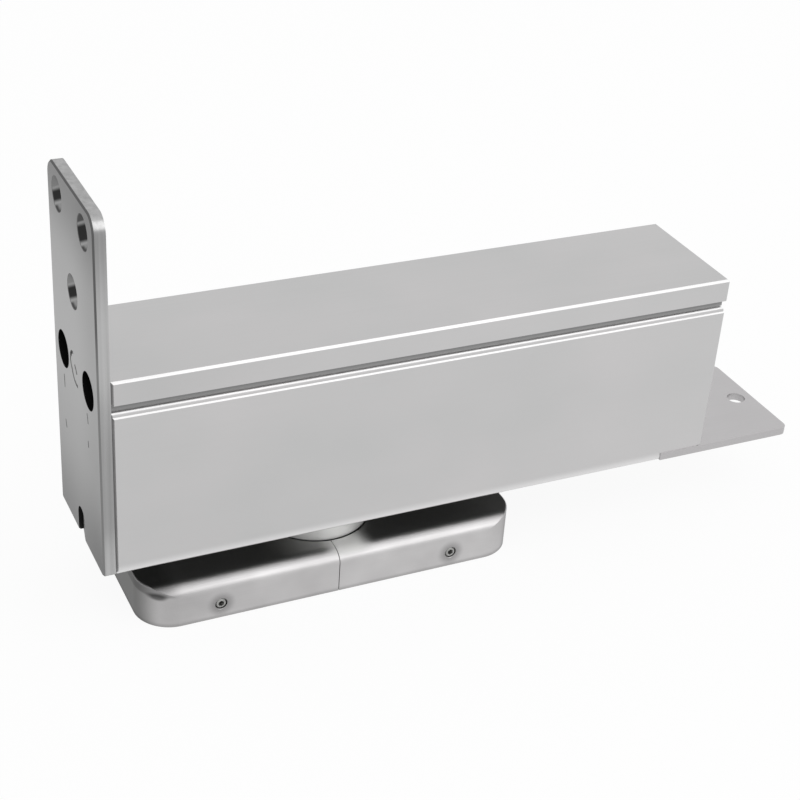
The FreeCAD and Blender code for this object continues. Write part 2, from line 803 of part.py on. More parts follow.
# Cylinder block: a casting with the piston's bore along it, the spindle's bore across it, and the two
# valve bores with their oil passages at the end plate.
def cylinder_block():
    half = block_width / 2
    body = block(case_left, block_right, -half, half, block_base, block_top)
    body = body.makeChamfer(block_chamfer, [edge for edge in body.Edges if edge.Length > block_width * 2])
    bore = rod(bore_diameter, block_right - case_left + 2, Vector(case_left - 1, 0, bore_axis), right)
    left_mouth = rod(end_plug_diameter, plug_recess + left_plug_length + 1,
                     Vector(case_left - 1, 0, bore_axis), right)
    right_mouth = rod(end_plug_diameter, plug_recess + right_plug_length + 1,
                      Vector(block_right + 1, 0, bore_axis), left)
    collar_seat = rod(collar_thread, collar_reach + 1, Vector(0, 0, block_base - 1), up)
    gear_bore = rod(2 * gear_cavity_radius, upper_bush_base - block_base, Vector(0, 0, block_base), up)
    bush_bore = rod(upper_journal + 2 * bush_wall, block_top - block_base, Vector(0, 0, block_base), up)
    plug_base = upper_bush_base + upper_bush_length
    plug_bore = rod(top_plug_diameter, block_top - plug_base + 1, Vector(0, 0, plug_base), up)
    body = body.cut([bore, left_mouth, right_mouth, collar_seat, gear_bore, bush_bore, plug_bore])
    for y, port in valve_places():
        start = Vector(case_left - 1, y, valve_axis)
        body = body.cut(rod(valve_bore, valve_inset + valve_length + 1, start, right))
        body = body.cut(rod(passage_bore, port + 1, start, right))
        foot = Vector(case_left + port, y, bore_axis)
        body = body.cut(rod(passage_bore, block_top - bore_axis + 1, foot, up))
        ball_seat = Vector(case_left + port, y, block_top - passage_ball)
        body = body.cut(rod(passage_ball + ring_play, passage_ball + 1, ball_seat, up))
    for mouth in block_screw_places():
        depth = case_floor + block_screw_grip + tapping_spare
        body = body.cut(rod(m5["thread"] + 2 * thread_play, depth, mouth, up))
    for mouth in flange_screw_places():
        depth = flange_screw_length + tapping_spare
        body = body.cut(rod(m4["thread"] + 2 * thread_play, depth, mouth, up))
    filler = Vector(block_right - filler_from_end, 0, bore_axis)
    body = body.cut(rod(filler_diameter, block_top - bore_axis + 1, filler, up))
    return body


def valve_places():
    """Y of each valve screw and the distance of its oil port from the block's face."""
    return ((valve_pitch / 2, sweep_port), (-valve_pitch / 2, latch_port))


def valve_screw(y):
    """Valve screw with a driver slot, a ring groove and a needle point."""
    radius = valve_bore / 2 - running_play
    groove = radius - valve_ring_wire * 0.8
    base = Vector(case_left + valve_inset, y, valve_axis)
    ring_at = valve_length * 0.3
    profile = [(0, 0), (0, radius - 0.4), (0.4, radius), (ring_at, radius), (ring_at, groove)]
    profile += [(ring_at + valve_ring_wire, groove), (ring_at + valve_ring_wire, radius)]
    profile += [(valve_length * 0.7, radius), (valve_length * 0.74, radius * 0.5)]
    profile += [(valve_length * 0.88, radius * 0.5), (valve_length, 0.2), (valve_length, 0)]
    screw = turned(profile, base, right)
    slot = block(base.x - 1, base.x + valve_slot_depth, y - valve_bore, y + valve_bore,
                 valve_axis - valve_slot_width / 2, valve_axis + valve_slot_width / 2)
    return screw.cut(slot)


def valve_ring(y):
    """Rubber ring in the valve screw's groove."""
    radius = valve_bore / 2 - running_play
    groove = radius - valve_ring_wire * 0.8
    base = Vector(case_left + valve_inset + valve_length * 0.3 + ring_play, y, valve_axis)
    return ring(valve_bore - 2 * ring_play, 2 * (groove + ring_play), valve_ring_wire - 2 * ring_play,
                base, right)


def passage_balls():
    balls = []
    for y, port in valve_places():
        centre = Vector(case_left + port, y, block_top - passage_ball / 2)
        balls.append(Part.makeSphere(passage_ball / 2, centre))
    return Part.makeCompound(balls)


def filler_screw():
    diameter = filler_diameter - 2 * thread_play
    mouth = Vector(block_right - filler_from_end, 0, block_top - 0.3)
    cone = (diameter - filler_tip) / 2
    profile = [(0, 0), (0, diameter / 2 - 0.4), (0.4, diameter / 2), (filler_length - cone, diameter / 2)]
    profile += [(filler_length, filler_tip / 2), (filler_length, 0)]
    return turned(profile, mouth, down).cut(hexagon(filler_key, filler_key_depth, mouth, down))


# End plugs, each a threaded disc with a key socket and a rubber ring.
def end_plug(face, length, inward):
    """Plug whose inner face lies at a given place, its ring groove near that face."""
    radius = end_plug_diameter / 2 - thread_play
    groove = radius - seal_depth
    profile = [(0, 0), (0, radius - 0.5), (0.5, radius), (1.2, radius), (1.2, groove)]
    profile += [(1.2 + seal_width, groove), (1.2 + seal_width, radius), (length, radius), (length, 0)]
    plug = turned(profile, Vector(face, 0, bore_axis), inward * -1)
    outer = Vector(face, 0, bore_axis) - inward * length
    return plug.cut(hexagon(plug_key, length * 0.6, outer, inward))


def end_plug_ring(face, inward):
    radius = end_plug_diameter / 2 - thread_play
    base = Vector(face, 0, bore_axis) - inward * (1.2 + ring_play)
    return ring(end_plug_diameter - 2 * ring_play, 2 * (radius - seal_depth + ring_play),
                seal_width - 2 * ring_play, base, inward * -1)


def left_end_plug():
    return end_plug(left_plug_face, left_plug_length, right)


def right_end_plug():
    plug = end_plug(right_plug_face, right_plug_length, left)
    thread = tension_screw_diameter + 2 * thread_play
    return plug.cut(rod(thread, right_plug_length + 2, Vector(right_plug_face - 1, 0, bore_axis), right))


def tension_screw():
    start = seat_face + seat_thickness
    end = block_right - plug_recess
    radius = tension_screw_diameter / 2
    profile = [(0, 0), (0, radius - 0.8), (0.8, radius), (end - start - 0.8, radius)]
    profile += [(end - start, radius - 0.8), (end - start, 0)]
    screw = turned(profile, Vector(start, 0, bore_axis), right)
    return screw.cut(hexagon(tension_screw_key, tension_key_depth, Vector(end, 0, bore_axis), left))


def spring_seat():
    radius = bore_diameter / 2 - 4 * running_play
    spigot = spring_outer / 2 - spring_wire_radial - 0.4
    profile = [(-seat_spigot, 0), (-seat_spigot, spigot - 0.5), (0.5 - seat_spigot, spigot)]
    profile += [(0, spigot), (0, radius)]
    profile += [(seat_thickness, radius), (seat_thickness, 0)]
    return turned(profile, Vector(seat_face, 0, bore_axis), right)


# Springs of flat wire, the ends ground square. Both push the piston back to the middle.
def coil_spring(length, coils, wire_axial, base):
    pitch = (length - wire_axial) / coils
    outer = spring_outer / 2
    inner = outer - spring_wire_radial
    path = Part.makeHelix(pitch, pitch * (coils + 2), (outer + inner) / 2)
    corners = [Vector(inner, 0, -wire_axial / 2), Vector(outer, 0, -wire_axial / 2),
               Vector(outer, 0, wire_axial / 2), Vector(inner, 0, wire_axial / 2)]
    section = Part.makePolygon(corners + corners[:1])
    coil = Part.Wire(path.Edges).makePipeShell([section], True, True)
    coil.translate(Vector(0, 0, -pitch + wire_axial / 2))
    coil = coil.common(Part.makeCylinder(outer + 1, length, Vector(0, 0, 0), up))
    coil = max(coil.Solids, key=lambda solid: solid.Volume)
    coil.rotate(Vector(0, 0, 0), Vector(0, 1, 0), 90)
    coil.translate(base)
    return coil


def spring_left():
    length = -pocket_floor - left_plug_face
    return coil_spring(length, left_coils, left_wire_axial, Vector(left_plug_face, 0, bore_axis))


def spring_right():
    length = seat_face - pocket_floor
    return coil_spring(length, right_coils, right_wire_axial, Vector(pocket_floor, 0, bore_axis))


# Rack piston. A window through it clears the spindle, and the rack is cut in the window's far wall.
def rack_piston():
    radius = bore_diameter / 2 - running_play
    body = rod(2 * radius, 2 * head_end, Vector(-head_end, 0, bore_axis), right)
    reach = bore_diameter
    pitch_line = pitch_radius
    tip_line = pitch_line - gear_module
    root_line = pitch_line + gear_module + root_clearance
    window = block(-slot_half, slot_half, -slot_back, tip_line, bore_axis - reach, bore_axis + reach)
    body = body.cut(window)
    tooth_pitch = math.pi * gear_module
    slope = math.tan(math.radians(pressure_angle))
    half_gap = tooth_pitch / 4 + backlash / 4
    count = int((slot_half - gear_module) / tooth_pitch)
    gaps = []
    for index in range(-count, count):
        centre = (index + 0.5) * tooth_pitch
        wide = half_gap + (pitch_line - tip_line + 0.5) * slope
        slim = half_gap - (root_line - pitch_line) * slope
        z = bore_axis - reach
        corners = [Vector(centre - wide, tip_line - 0.5, z), Vector(centre + wide, tip_line - 0.5, z),
                   Vector(centre + slim, root_line, z), Vector(centre - slim, root_line, z)]
        gaps.append(Part.Face(Part.makePolygon(corners + corners[:1])).extrude(up * (2 * reach)))
    body = body.cut(gaps)
    for hand in (-1, 1):
        outward = Vector(hand, 0, 0)
        pocket = rod(pocket_diameter, pocket_depth + 1, Vector(hand * pocket_floor, 0, bore_axis), outward)
        groove = ring(bore_diameter + 2, 2 * (radius - seal_depth), seal_width,
                      Vector(hand * seal_place(), 0, bore_axis), outward)
        body = body.cut([pocket, groove])
    body = body.cut(rod(check_bore, head_length, Vector(slot_half - 1, 0, bore_axis), right))
    seat = Vector(pocket_floor - check_seat_depth, 0, bore_axis)
    return body.cut(rod(check_ball + 0.4, check_seat_depth + 1, seat, right))


def seal_place():
    """Distance of the piston rings from the middle of the piston."""
    return slot_half + (head_length - seal_width) / 2


def piston_seals():
    radius = bore_diameter / 2 - running_play
    rings = []
    for hand in (-1, 1):
        base = Vector(hand * (seal_place() + ring_play), 0, bore_axis)
        rings.append(ring(bore_diameter - 2 * ring_play, 2 * (radius - seal_depth + ring_play),
                          seal_width - 2 * ring_play, base, Vector(hand, 0, 0)))
    return Part.makeCompound(rings)


def check_valve_ball():
    """Ball that lets oil pass the piston when the door is opened."""
    centre = pocket_floor - check_seat_depth + check_ball / 2 + ring_play
    return Part.makeSphere(check_ball / 2, Vector(centre, 0, bore_axis))


def check_valve_ring():
    base = Vector(pocket_floor - check_ring, 0, bore_axis)
    return ring(check_ball + 0.4 - ring_play, check_bore, check_ring, base, right)


def main():
    os.makedirs(parts_folder, exist_ok=True)
    left_half, right_half = cover_halves()
    solids = {
        "floor_plate": floor_plate(),
        "cover_half_left": left_half,
        "cover_half_right": right_half,
        "cover_grub_screws": cover_grub_screws(),
        "spindle": spindle(),
        "spindle_lock_screw": spindle_lock_screw(),
        "thrust_washer_lower": thrust_washer_lower(),
        "thrust_washer_upper": thrust_washer_upper(),
        "thrust_balls": thrust_balls(),
        "ball_cage": ball_cage(),
        "bearing_collar": bearing_collar(),
        "spindle_seal": spindle_seal(),
        "lower_bush": lower_bush(),
        "upper_bush": upper_bush(),
        "top_plug": top_plug(),
        "top_plug_ring": top_plug_ring(),
        "case_trough": case_trough(),
        "case_lid": case_lid(),
        "lid_screws": lid_screws(),
        "end_plate": end_plate(),
        "rear_flange": rear_flange(),
        "flange_screws": flange_screws(),
        "cylinder_block": cylinder_block(),
        "block_screws": block_screws(),
        "sweep_valve": valve_screw(valve_pitch / 2),
        "sweep_valve_ring": valve_ring(valve_pitch / 2),
        "latch_valve": valve_screw(-valve_pitch / 2),
        "latch_valve_ring": valve_ring(-valve_pitch / 2),
        "passage_balls": passage_balls(),
        "filler_screw": filler_screw(),
        "left_end_plug": left_end_plug(),
        "left_plug_ring": end_plug_ring(left_plug_face, right),
        "right_end_plug": right_end_plug(),
        "right_plug_ring": end_plug_ring(right_plug_face, left),
        "tension_screw": tension_screw(),
        "spring_seat": spring_seat(),
        "spring_left": spring_left(),
        "spring_right": spring_right(),
        "rack_piston": rack_piston(),
        "piston_seals": piston_seals(),
        "check_valve_ball": check_valve_ball(),
        "check_valve_ring": check_valve_ring(),
    }
    for name, shape in solids.items():
        shape.exportStep(os.path.join(parts_folder, name + ".step"))


main()
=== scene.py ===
import bpy
import json
import math
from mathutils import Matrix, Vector


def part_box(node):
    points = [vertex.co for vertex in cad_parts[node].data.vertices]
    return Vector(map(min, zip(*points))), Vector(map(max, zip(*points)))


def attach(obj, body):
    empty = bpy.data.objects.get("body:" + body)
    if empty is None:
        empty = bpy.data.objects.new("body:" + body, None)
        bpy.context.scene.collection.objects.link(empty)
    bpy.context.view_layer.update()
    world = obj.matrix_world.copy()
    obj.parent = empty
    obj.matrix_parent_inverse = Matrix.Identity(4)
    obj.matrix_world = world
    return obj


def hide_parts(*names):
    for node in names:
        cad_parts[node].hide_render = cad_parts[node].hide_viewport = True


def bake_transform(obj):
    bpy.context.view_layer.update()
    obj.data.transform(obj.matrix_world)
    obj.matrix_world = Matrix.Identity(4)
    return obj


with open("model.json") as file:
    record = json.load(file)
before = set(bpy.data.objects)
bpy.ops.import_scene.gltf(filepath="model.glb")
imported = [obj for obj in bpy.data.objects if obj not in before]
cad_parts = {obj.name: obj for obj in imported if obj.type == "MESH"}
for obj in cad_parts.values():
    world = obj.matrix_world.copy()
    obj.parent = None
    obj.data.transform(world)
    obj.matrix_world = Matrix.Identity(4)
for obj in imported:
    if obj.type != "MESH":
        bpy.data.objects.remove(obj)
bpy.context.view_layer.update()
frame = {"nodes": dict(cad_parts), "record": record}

# The floor plate: a thick steel plate screwed to the floor, zinc plated, with a raised hub whose square
# socket holds the spindle. A blackened set screw in the hub locks the spindle under the cover.
def new_material(name):
    """Empty node material with a metal shader joined to its output."""
    material = bpy.data.materials.new(name)
    material.use_nodes = True
    tree = material.node_tree
    tree.nodes.clear()
    output = tree.nodes.new("ShaderNodeOutputMaterial")
    shader = tree.nodes.new("ShaderNodeBsdfPrincipled")
    tree.links.new(shader.outputs["BSDF"], output.inputs["Surface"])
    return material, tree, shader


def noise_over(tree, scale_xyz, detail):
    """Noise in the part's own coordinates, stretched by a scale for each axis."""
    place = tree.nodes.new("ShaderNodeTexCoord")
    stretch = tree.nodes.new("ShaderNodeMapping")
    noise = tree.nodes.new("ShaderNodeTexNoise")
    stretch.inputs["Scale"].default_value = scale_xyz
    noise.inputs["Scale"].default_value = 1.0
    noise.inputs["Detail"].default_value = detail
    tree.links.new(place.outputs["Object"], stretch.inputs["Vector"])
    tree.links.new(stretch.outputs["Vector"], noise.inputs["Vector"])
    return noise.outputs["Fac"]


def spread(tree, source, low, high):
    """Noise, which mostly runs from 0.3 to 0.7, carried over to a range."""
    remap = tree.nodes.new("ShaderNodeMapRange")
    remap.inputs["From Min"].default_value = 0.3
    remap.inputs["From Max"].default_value = 0.7
    remap.inputs["To Min"].default_value = low
    remap.inputs["To Max"].default_value = high
    tree.links.new(source, remap.inputs["Value"])
    return remap.outputs["Result"]


def tinted(tree, source, first, second):
    """Colour that drifts between two tints."""
    mix = tree.nodes.new("ShaderNodeMix")
    mix.data_type = "RGBA"
    colours = [socket for socket in mix.inputs if socket.type == "RGBA"]
    colours[0].default_value = (*first, 1)
    colours[1].default_value = (*second, 1)
    tree.links.new(spread(tree, source, 0, 1), mix.inputs["Factor"])
    return [socket for socket in mix.outputs if socket.type == "RGBA"][0]


def lined_metal(name, dark, light, patch, roughness, lines, relief):
    """Worked metal: tint drift in patches, fine lines along one axis that change gloss and relief."""
    material, tree, shader = new_material(name)
    shader.inputs["Metallic"].default_value = 1.0
    drift = noise_over(tree, patch, detail=2)
    tree.links.new(tinted(tree, drift, dark, light), shader.inputs["Base Color"])
    grain = noise_over(tree, lines, detail=3)
    tree.links.new(spread(tree, grain, *roughness), shader.inputs["Roughness"])
    bump = tree.nodes.new("ShaderNodeBump")
    bump.inputs["Strength"].default_value = relief
    bump.inputs["Distance"].default_value = 0.00005
    tree.links.new(grain, bump.inputs["Height"])
    tree.links.new(bump.outputs["Normal"], shader.inputs["Normal"])
    return material


def finish(node, material):
    """Gives a carried-over piece its material."""
    piece = frame["nodes"][node]
    piece.data.materials.clear()
    piece.data.materials.append(material)


zinc = lined_metal("zinc_plated", dark=(0.42, 0.43, 0.45), light=(0.50, 0.50, 0.49), patch=(120, 120, 120),
                   roughness=(0.34, 0.46), lines=(900, 900, 900), relief=0.25)
black_oxide = lined_metal("black_oxide", dark=(0.018, 0.018, 0.02), light=(0.032, 0.032, 0.034),
                          patch=(300, 300, 300), roughness=(0.38, 0.52), lines=(1500, 1500, 1500), relief=0.3)
finish("floor_plate", zinc)
finish("spindle_lock_screw", black_oxide)

# The spindle, the two washers and the balls: hardened and ground steel. The spindle stands in the floor
# plate and carries the door on the balls. Their cage and the two bushes are sintered bronze.
ground = lined_metal("ground_steel", dark=(0.36, 0.36, 0.37), light=(0.42, 0.42, 0.43), patch=(200, 200, 200),
                     roughness=(0.16, 0.26), lines=(400, 400, 6000), relief=0.15)
for node in ("spindle", "thrust_washer_lower", "thrust_washer_upper", "thrust_balls"):
    finish(node, ground)
sintered = lined_metal("sintered_bronze", dark=(0.50, 0.34, 0.15), light=(0.62, 0.45, 0.22),
                       patch=(250, 250, 250), roughness=(0.36, 0.5), lines=(3000, 3000, 3000), relief=0.4)
for node in ("ball_cage", "lower_bush", "upper_bush"):
    finish(node, sintered)


# The cover in two halves, pressed from stainless sheet. The long sides are polished and their top edges
# crowned; painted shade darkens the top and the square ends. Four set screws in its sides clamp it in place.
def part_place(tree):
    """The part's own coordinates, one output for each axis."""
    place = tree.nodes.new("ShaderNodeTexCoord")
    split = tree.nodes.new("ShaderNodeSeparateXYZ")
    tree.links.new(place.outputs["Object"], split.inputs["Vector"])
    return [split.outputs[axis] for axis in "XYZ"]


def worked_out(tree, operation, *terms):
    """Result of one sum on outputs or numbers."""
    node = tree.nodes.new("ShaderNodeMath")
    node.operation = operation
    for place, term in zip(node.inputs, terms):
        if isinstance(term, (int, float)):
            place.default_value = term
        else:
            tree.links.new(term, place)
    return node.outputs[0]


def both(tree, first, second):
    """Mask that is 1 only where two masks are."""
    return worked_out(tree, "MULTIPLY", first, second)


def fade(tree, value, clear, full):
    """0 where the value is at clear, 1 where it is at full, and smooth between."""
    remap = tree.nodes.new("ShaderNodeMapRange")
    remap.interpolation_type = "SMOOTHSTEP"
    remap.inputs["From Min"].default_value = clear
    remap.inputs["From Max"].default_value = full
    tree.links.new(value, remap.inputs["Value"])
    return remap.outputs["Result"]


def from_axis(tree, first, second, centre):
    """Distance from an axis, given the two coordinates across it."""
    squares = []
    for value, middle in zip((first, second), centre):
        gap = worked_out(tree, "ABSOLUTE", worked_out(tree, "SUBTRACT", value, middle))
        squares.append(worked_out(tree, "POWER", gap, 2.0))
    return worked_out(tree, "SQRT", worked_out(tree, "ADD", *squares))


def metal_shader(material):
    """The metal shader of a material."""
    return next(node for node in material.node_tree.nodes if node.type == "BSDF_PRINCIPLED")


def toned(material, mask, tone, roughness):
    """Lays another tone and gloss over a metal where the mask is 1."""
    tree = material.node_tree
    shader = metal_shader(material)
    for name, kind, data_type, value in (("Base Color", "RGBA", "RGBA", (*tone, 1)),
                                         ("Roughness", "VALUE", "FLOAT", roughness)):
        mix = tree.nodes.new("ShaderNodeMix")
        mix.data_type = data_type
        pair = [place for place in mix.inputs if place.type == kind and place.name in "AB"]
        tree.links.new(shader.inputs[name].links[0].from_socket, pair[0])
        pair[1].default_value = value
        tree.links.new(mask, mix.inputs["Factor"])
        tree.links.new([place for place in mix.outputs if place.type == kind][0], shader.inputs[name])


def shaded(material, mask, share):
    """Scales a metal's colour by a share where the mask is 1."""
    tree = material.node_tree
    shader = metal_shader(material)
    mix = tree.nodes.new("ShaderNodeMix")
    mix.data_type = "RGBA"
    mix.blend_type = "MULTIPLY"
    pair = [place for place in mix.inputs if place.type == "RGBA"]
    tree.links.new(shader.inputs["Base Color"].links[0].from_socket, pair[0])
    pair[1].default_value = (share, share, share, 1)
    tree.links.new(mask, mix.inputs["Factor"])
    tree.links.new([place for place in mix.outputs if place.type == "RGBA"][0], shader.inputs["Base Color"])


def dimmer_aslant(material, share):
    """Lets a metal reflect only a share of the light where it is seen aslant."""
    metal_shader(material).inputs["Specular Tint"].default_value = (share, share, share, 1)


polished = lined_metal("cover_polished", dark=(0.505, 0.496, 0.498), light=(0.585, 0.576, 0.577),
                       patch=(70, 90, 90), roughness=(0.40, 0.48), lines=(60, 2600, 2600), relief=0.1)
dimmer_aslant(polished, 0.75)
cover_tree = polished.node_tree
facing = cover_tree.nodes.new("ShaderNodeTexCoord")
faces = cover_tree.nodes.new("ShaderNodeSeparateXYZ")
cover_tree.links.new(facing.outputs["Normal"], faces.inputs["Vector"])
towards_end = worked_out(cover_tree, "ABSOLUTE", faces.outputs["X"])
shade_on_top = fade(cover_tree, faces.outputs["Z"], clear=0.93, full=0.995)
shade_on_ends = fade(cover_tree, towards_end, clear=0.52, full=1.10)
# Painted shade: the top and the ends are darker by the way they face.
toned(polished, shade_on_top, tone=(0.27, 0.27, 0.265), roughness=0.40)
toned(polished, shade_on_ends, tone=(0.18, 0.18, 0.177), roughness=0.42)

# The sheet is darker round the set screws. Painted shade darkens it along the left end, on the crown by
# its corner, in a spot there and along the foot; where the halves meet, a pale matt patch is a painted
# highlight.
cover_x, cover_y, cover_z = part_place(cover_tree)
set_screws_x = (-0.0346, 0.0322)
set_screws_height = 0.0043
for screw_x in set_screws_x:
    from_screw = from_axis(cover_tree, cover_x, cover_z, (screw_x, set_screws_height))
    shaded(polished, fade(cover_tree, from_screw, clear=0.0044, full=0.0016), share=0.62)
# Painted shade along the left end and on the crown by its corner.
left_end_shade = fade(cover_tree, cover_x, clear=-0.030, full=-0.052)
shaded(polished, left_end_shade, share=0.87)
on_crown = fade(cover_tree, cover_z, clear=0.0090, full=0.0098)
crown_shade_reach = fade(cover_tree, cover_x, clear=-0.044, full=-0.050)
shaded(polished, both(cover_tree, on_crown, crown_shade_reach), share=0.6)
# Painted shade: a dark spot on the crown at the left corner.
flattening = 2.0
corner_shade_spot = (-0.0513, 0.0095 * flattening)
height_stretched = worked_out(cover_tree, "MULTIPLY", cover_z, flattening)
from_shade_spot = from_axis(cover_tree, cover_x, height_stretched, corner_shade_spot)
shaded(polished, fade(cover_tree, from_shade_spot, clear=0.0030, full=0.0010), share=0.3)
# Painted highlight: a pale, matt patch on the top where the halves meet.
seam_highlight_spot = (0.0025, -0.0178)
from_seam = from_axis(cover_tree, cover_x, cover_y, seam_highlight_spot)
seam_highlight = fade(cover_tree, from_seam, clear=0.0085, full=0.0025)
near_top = fade(cover_tree, cover_z, clear=0.0100, full=0.0115)
toned(polished, both(cover_tree, seam_highlight, near_top), tone=(0.80, 0.80, 0.79), roughness=0.8)
# Painted shade: a dark line along the foot.
foot_shade_line = fade(cover_tree, cover_z, clear=0.0014, full=0.0002)
shaded(polished, foot_shade_line, share=0.75)
for node in ("cover_half_left", "cover_half_right"):
    finish(node, polished)

# The four set screws in the cover's sides: headless screws of plain steel with a key socket, gone dull.
# Their cone points clamp the cover to the floor plate.
dull_steel = lined_metal("dull_steel", dark=(0.36, 0.36, 0.35), light=(0.44, 0.44, 0.43),
                         patch=(500, 500, 500), roughness=(0.5, 0.65), lines=(1500, 1500, 1500), relief=0.3)
finish("cover_grub_screws", dull_steel)

# The collar under the case: turned stainless steel, screwed up into the cylinder block. It holds the
# thrust bearing, and its finely turned side shows in the gap between the cover and the case.
turned = lined_metal("turned_stainless", dark=(0.76, 0.76, 0.75), light=(0.82, 0.82, 0.81),
                     patch=(80, 80, 80), roughness=(0.5, 0.6), lines=(300, 300, 7000), relief=0.2)
metal_shader(turned).inputs["Metallic"].default_value = 0.6
finish("bearing_collar", turned)


# The seals: moulded rings of black nitrile rubber in turned grooves. They keep the oil in at the spindle,
# the plugs and the valve screws, and part the two sides of the piston.
def soft_rubber(name):
    """Black rubber with a faint uneven sheen."""
    material, tree, shader = new_material(name)
    drift = noise_over(tree, (700, 700, 700), detail=4)
    sheen = noise_over(tree, (2500, 2500, 2500), detail=2)
    colour = tinted(tree, drift, (0.018, 0.018, 0.018), (0.034, 0.034, 0.034))
    tree.links.new(colour, shader.inputs["Base Color"])
    tree.links.new(spread(tree, sheen, low=0.5, high=0.68), shader.inputs["Roughness"])
    return material


nitrile = soft_rubber("nitrile_rubber")
for node in ("spindle_seal", "top_plug_ring", "sweep_valve_ring", "latch_valve_ring", "left_plug_ring",
             "right_plug_ring", "piston_seals"):
    finish(node, nitrile)

# The cylinder block: an iron casting that fills the case. The bores for the piston, the spindle and the
# two valve screws are machined into it.
casting = lined_metal("machined_casting", dark=(0.13, 0.13, 0.135), light=(0.20, 0.20, 0.205),
                      patch=(150, 150, 150), roughness=(0.45, 0.62), lines=(1200, 1200, 1200), relief=0.5)
finish("cylinder_block", casting)

# Inside the block: the rack piston and the check and passage balls are hardened and ground, the plugs
# and the spring seat zinc plated, and the valve, filler and tension screws blackened.
for node in ("rack_piston", "check_valve_ball", "passage_balls"):
    finish(node, ground)
for node in ("left_end_plug", "right_end_plug", "top_plug", "spring_seat", "check_valve_ring"):
    finish(node, zinc)
for node in ("tension_screw", "filler_screw", "sweep_valve", "latch_valve"):
    finish(node, black_oxide)

# The piston's two springs: flat hardened wire wound into a coil, its ends ground square. One end
# stands still in the case and the other goes with the piston, so each closes up as the door swings.
wire_across = 0.0034
steps_per_turn = 32
play = 0.00003
thinnest_share = 0.125


def flat_coil(node, wire_along, coils):
    """Coil of flat wire from its seat at one end to the piston at the other, in place of the part."""
    low, high = (Vector(corner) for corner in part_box(node))
    low.x, high.x = low.x + play, high.x - play
    length = high.x - low.x
    outer = (high.y - low.y) / 2 - play
    inner = outer - wire_across
    rise = (length - wire_along) / coils
    corners, faces = [], []
    for step in range(-steps_per_turn, steps_per_turn * (coils + 1) + 1):
        turn = step / steps_per_turn
        middle = wire_along / 2 + rise * turn
        start, end = max(middle - wire_along / 2, 0.0), min(middle + wire_along / 2, length)
        if end - start < wire_along * thinnest_share:
            continue
        angle = 2 * math.pi * turn
        corners += [(low.x + along, (low.y + high.y) / 2 + radius * math.cos(angle),
                     (low.z + high.z) / 2 + radius * math.sin(angle))
                    for along, radius in ((start, inner), (start, outer), (end, outer), (end, inner))]
    for first in range(0, len(corners) - 4, 4):
        faces += [(first + side, first + (side + 1) % 4, first + 4 + (side + 1) % 4, first + 4 + side)
                  for side in range(4)]
    faces += [(3, 2, 1, 0), tuple(range(len(corners) - 4, len(corners)))]
    mesh = bpy.data.meshes.new(node + "_coil")
    mesh.from_pydata(corners, [], faces)
    mesh.materials.append(black_oxide)
    piece = bpy.data.objects.new(node + "_coil", mesh)
    bpy.context.scene.collection.objects.link(piece)
    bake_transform(piece)
    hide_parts(node)


flat_coil("spring_left", wire_along=0.0028, coils=5)
flat_coil("spring_right", wire_along=0.0036, coils=10)


# The case: a stainless trough with a stepped and rounded rim, its lid, and the tongue under its far
# end. All are brushed along their length to a fine satin, and the trough's underside carries painted shade.
def copied(material, name):
    """Copy of a material under another name."""
    copy = material.copy()
    copy.name = name
    return copy


satin = lined_metal("case_satin", dark=(0.548, 0.548, 0.548), light=(0.586, 0.577, 0.579), patch=(22, 30, 30),
                    roughness=(0.30, 0.37), lines=(40, 3200, 3200), relief=0.1)
tongue_satin = lined_metal("tongue_satin", dark=(0.482, 0.472, 0.477), light=(0.512, 0.502, 0.507),
                           patch=(40, 40, 40), roughness=(0.32, 0.4), lines=(40, 3200, 3200), relief=0.1)
finish("rear_flange", tongue_satin)

# The trough's foot edge carries a painted highlight, and its underside painted shade.
trough_satin = copied(satin, "trough_satin")
trough_tree = trough_satin.node_tree
trough_z = part_place(trough_tree)[2]
case_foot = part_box("case_trough")[0][2]
foot_highlight = fade(trough_tree, trough_z, clear=case_foot + 0.0030, full=case_foot + 0.0004)
underside_shade = fade(trough_tree, trough_z, clear=case_foot + 0.0003, full=case_foot + 0.00005)
toned(trough_satin, foot_highlight, tone=(0.74, 0.735, 0.737), roughness=0.3)
toned(trough_satin, underside_shade, tone=(0.13, 0.13, 0.13), roughness=0.6)
finish("case_trough", trough_satin)

# Painted shade makes the lid a little darker on top and along its sides towards the end plate, and darker
# again in the groove that it leaves above the trough's rim.
lid_satin = copied(satin, "lid_satin")
lid_tree = lid_satin.node_tree
lid_x, _, lid_z = part_place(lid_tree)
lid_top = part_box("case_lid")[1][2]
lid_base = 0.0680
groove_floor = 0.0658
under_lid_shade = fade(lid_tree, lid_z, clear=lid_base, full=lid_base - 0.0001)
groove_wall_shade = fade(lid_tree, lid_z, clear=groove_floor, full=lid_base - 0.0008)
toned(lid_satin, under_lid_shade, tone=(0.38, 0.38, 0.38), roughness=0.5)
toned(lid_satin, both(lid_tree, under_lid_shade, groove_wall_shade), tone=(0.24, 0.24, 0.24), roughness=0.5)
shade_on_top = fade(lid_tree, lid_z, clear=lid_top - 0.00006, full=lid_top - 0.00003)
below_edge = fade(lid_tree, lid_z, clear=lid_top - 0.0005, full=lid_top - 0.0008)
plate_end_shade = fade(lid_tree, lid_x, clear=0.0, full=-0.05)
shaded(lid_satin, shade_on_top, share=0.905)
shaded(lid_satin, both(lid_tree, below_edge, plate_end_shade), share=0.95)
finish("case_lid", lid_satin)

# The countersunk screws that hold the lid, the tongue and the cylinder block: plain steel, zinc plated,
# with their heads flush in the stainless parts.
for node in ("lid_screws", "flange_screws", "block_screws"):
    finish(node, zinc)

